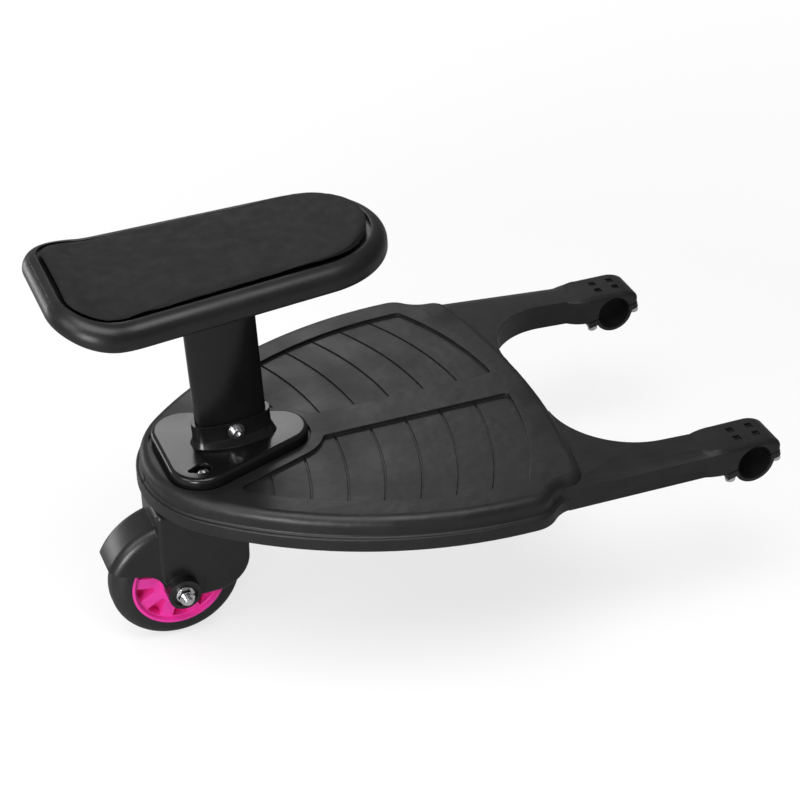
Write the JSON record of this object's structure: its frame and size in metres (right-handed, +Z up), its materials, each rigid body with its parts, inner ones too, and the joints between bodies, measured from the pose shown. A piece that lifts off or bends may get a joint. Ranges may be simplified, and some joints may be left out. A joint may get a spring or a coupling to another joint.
{
  "type": "buggy board",
  "caption": "Ride-on board for the back of a stroller: shield-shaped deck with grooved treads, saddle seat on a post, swivelling caster wheel and clamps on arms.",
  "frame": {"origin": "on the floor under the middle of the object's length, in its mid-plane", "axes": "+X forward to the clamps, +Y to the left side, +Z up"},
  "size_m": [0.623, 0.3594, 0.3944],
  "materials": {
    "deck_plastic": "semi-matte black moulded plastic with a fine grain",
    "base_plastic": "glossy black moulded plastic",
    "shell_plastic": "satin black moulded plastic",
    "pad_foam": "matte charcoal foam with a fine surface",
    "fork_plastic": "semi-matte black moulded plastic",
    "hub_plastic": "bright pink moulded plastic",
    "tyre_rubber": "smooth dark rubber",
    "liner_rubber": "matte black rubber",
    "zinc_steel": "bright zinc plating",
    "bearing_steel": "ground steel",
    "bearing_plastic": "natural bearing plastic",
    "insert_brass": "plain brass"
  },
  "bodies": {
    "board": {"deck": "deck_plastic", "seat_base": "base_plastic", "seat_base_screws": "zinc_steel", "seat_base_washers": "zinc_steel", "seat_base_nuts": "zinc_steel", "seat_post": "base_plastic", "seat_lock_screw": "zinc_steel", "seat_lock_washers": "zinc_steel", "seat_lock_nut": "zinc_steel", "seat_pan": "shell_plastic", "seat_pan_screws": "zinc_steel", "seat_pad": "pad_foam", "swivel_bush": "bearing_plastic", "clamp_liner_upper_left": "liner_rubber", "clamp_inserts_left": "insert_brass", "clamp_liner_upper_right": "liner_rubber", "clamp_inserts_right": "insert_brass"},
    "caster": {"caster_fork": "fork_plastic", "kingpin": "zinc_steel", "kingpin_washer": "zinc_steel", "kingpin_nut": "zinc_steel", "thrust_washer": "bearing_plastic", "axle_bolt": "zinc_steel", "axle_nut": "zinc_steel", "axle_washers": "zinc_steel", "axle_spacers": "bearing_plastic"},
    "wheel": {"wheel_hub": "hub_plastic", "tyre": "tyre_rubber", "wheel_bearings": "bearing_steel", "bearing_spacer": "bearing_steel"},
    "cap_left": {"clamp_cap_left": "deck_plastic", "clamp_liner_lower_left": "liner_rubber", "clamp_bolts_left": "zinc_steel"},
    "cap_right": {"clamp_cap_right": "deck_plastic", "clamp_liner_lower_right": "liner_rubber", "clamp_bolts_right": "zinc_steel"}
  },
  "joints": [
    {"name": "caster_swivel", "type": "hinge", "parent": "board", "child": "caster", "pos_m": [-0.18568, 0, 0.145], "axis": [0, 0, 1], "continuous": true},
    {"name": "wheel_spin", "type": "hinge", "parent": "caster", "child": "wheel", "pos_m": [-0.21518, 0, 0.06], "axis": [0, 1, 0], "continuous": true},
    {"name": "cap_slide_left", "type": "slide", "parent": "board", "child": "cap_left", "axis": [0.2351, 0, -0.972], "range_m": [0, 0.007]},
    {"name": "cap_slide_right", "type": "slide", "parent": "board", "child": "cap_right", "axis": [0.2351, 0, -0.972], "range_m": [0, 0.007]}
  ]
}
